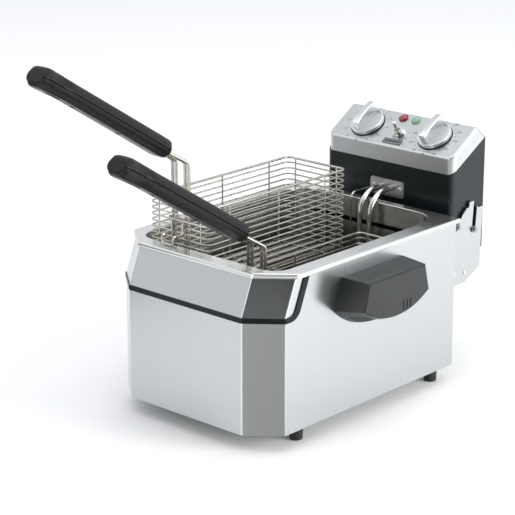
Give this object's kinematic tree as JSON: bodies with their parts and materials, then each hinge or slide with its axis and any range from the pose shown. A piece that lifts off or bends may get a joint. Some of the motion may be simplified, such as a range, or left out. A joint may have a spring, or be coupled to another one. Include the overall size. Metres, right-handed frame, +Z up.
{
  "type": "countertop deep fryer",
  "caption": "Countertop deep fryer: steel housing, drop-in oil tank, lift-out wire baskets with long grips, and a rear control head that carries the heating element.",
  "frame": {"origin": "on the table, under the middle of the fryer's whole outline, basket grips included", "axes": "+X to the right seen from the front, +Y from the front towards the control head, +Z up"},
  "size_m": [0.305, 0.5662, 0.4166],
  "materials": {
    "housing_steel": "satin brushed stainless sheet",
    "tank_steel": "pressed stainless, satin",
    "band_black": "gloss black trim",
    "foot_rubber": "matt black rubber",
    "fastener_steel": "zinc-plated steel",
    "handle_plastic": "fine-grained dark plastic",
    "bracket_steel": "folded stainless sheet",
    "pin_steel": "turned steel",
    "head_black": "smooth dark enamel",
    "bezel_silver": "satin silver",
    "cover_steel": "sheet steel",
    "knob_silver": "metallised plastic",
    "ring_black": "gloss black",
    "switch_black": "moulded black plastic",
    "shaft_steel": "turned steel",
    "lamp_red": "clear red lens",
    "lamp_green": "clear green lens",
    "lever_chrome": "polished plating",
    "badge_black": "blank dark plate with a thin light border",
    "element_steel": "drawn stainless tube, satin",
    "reset_red": "moulded red plastic",
    "basket_wire": "nickel-plated wire",
    "grip_black": "matt black heat-resistant plastic"
  },
  "bodies": {
    "fryer": {"outer_housing": "housing_steel", "front_cap": "housing_steel", "trim_band": "band_black", "rear_panel": "housing_steel", "base_plate": "housing_steel", "feet": "foot_rubber", "foot_fasteners": "fastener_steel", "rear_screws": "fastener_steel", "side_handle_right": "handle_plastic", "side_handle_left": "handle_plastic", "handle_screws": "fastener_steel", "oil_tank": "tank_steel", "rear_bracket": "bracket_steel", "bracket_rivets": "fastener_steel", "bracket_bolts": "fastener_steel", "head_pins": "pin_steel", "head_housing": "head_black", "head_bezel": "bezel_silver", "head_back_cover": "cover_steel", "cover_screws": "fastener_steel", "cord_gland": "switch_black", "gland_nut": "switch_black", "high_limit_switch": "switch_black", "terminal_block": "switch_black", "dial_rings": "ring_black", "timer_body": "switch_black", "thermostat_body": "switch_black", "power_lamp": "lamp_red", "ready_lamp": "lamp_green", "lever_switch": "switch_black", "lever_nut": "lever_chrome", "badge_plate": "badge_black", "element_plate": "bracket_steel", "element_screws": "fastener_steel", "heating_element": "element_steel", "element_strap": "bracket_steel", "sensor_bulb": "element_steel"},
    "basket_left": {"basket_left_side_mesh": "basket_wire", "basket_left_end_mesh": "basket_wire", "basket_left_floor_mesh": "basket_wire", "basket_left_top_frame": "basket_wire", "basket_left_handle_wires": "basket_wire", "basket_left_rim_hook": "basket_wire", "grip_left_upper": "grip_black", "grip_left_lower": "grip_black"},
    "basket_right": {"basket_right_side_mesh": "basket_wire", "basket_right_end_mesh": "basket_wire", "basket_right_floor_mesh": "basket_wire", "basket_right_top_frame": "basket_wire", "basket_right_handle_wires": "basket_wire", "basket_right_rim_hook": "basket_wire", "grip_right_upper": "grip_black", "grip_right_lower": "grip_black"},
    "timer_dial": {"timer_knob": "knob_silver", "timer_shaft": "shaft_steel"},
    "temperature_dial": {"temperature_knob": "knob_silver", "temperature_shaft": "shaft_steel"},
    "power_toggle": {"power_lever": "lever_chrome"},
    "reset_plunger": {"reset_button": "reset_red"}
  },
  "joints": [
    {"name": "basket_left_lift", "type": "slide", "parent": "fryer", "child": "basket_left", "axis": [0, 0, 1], "range_m": [0, 0.12]},
    {"name": "basket_right_lift", "type": "slide", "parent": "fryer", "child": "basket_right", "axis": [0, 0, 1], "range_m": [0, 0.19]},
    {"name": "timer_turn", "type": "hinge", "parent": "fryer", "child": "timer_dial", "pos_m": [-0.0495, 0.24093, 0.26781], "axis": [0, -0.5277, 0.8494], "range_deg": [-300, 0]},
    {"name": "temperature_turn", "type": "hinge", "parent": "fryer", "child": "temperature_dial", "pos_m": [0.0495, 0.24093, 0.26781], "axis": [0, -0.5277, 0.8494], "range_deg": [-270, 0]},
    {"name": "power_toggle_throw", "type": "hinge", "parent": "fryer", "child": "power_toggle", "pos_m": [0, 0.23504, 0.26592], "axis": [1, 0, 0], "range_deg": [-12, 12]},
    {"name": "reset_press", "type": "slide", "parent": "fryer", "child": "reset_plunger", "axis": [0, -1, 0], "range_m": [0, 0.002], "stiffness_N_per_m": 400}
  ]
}
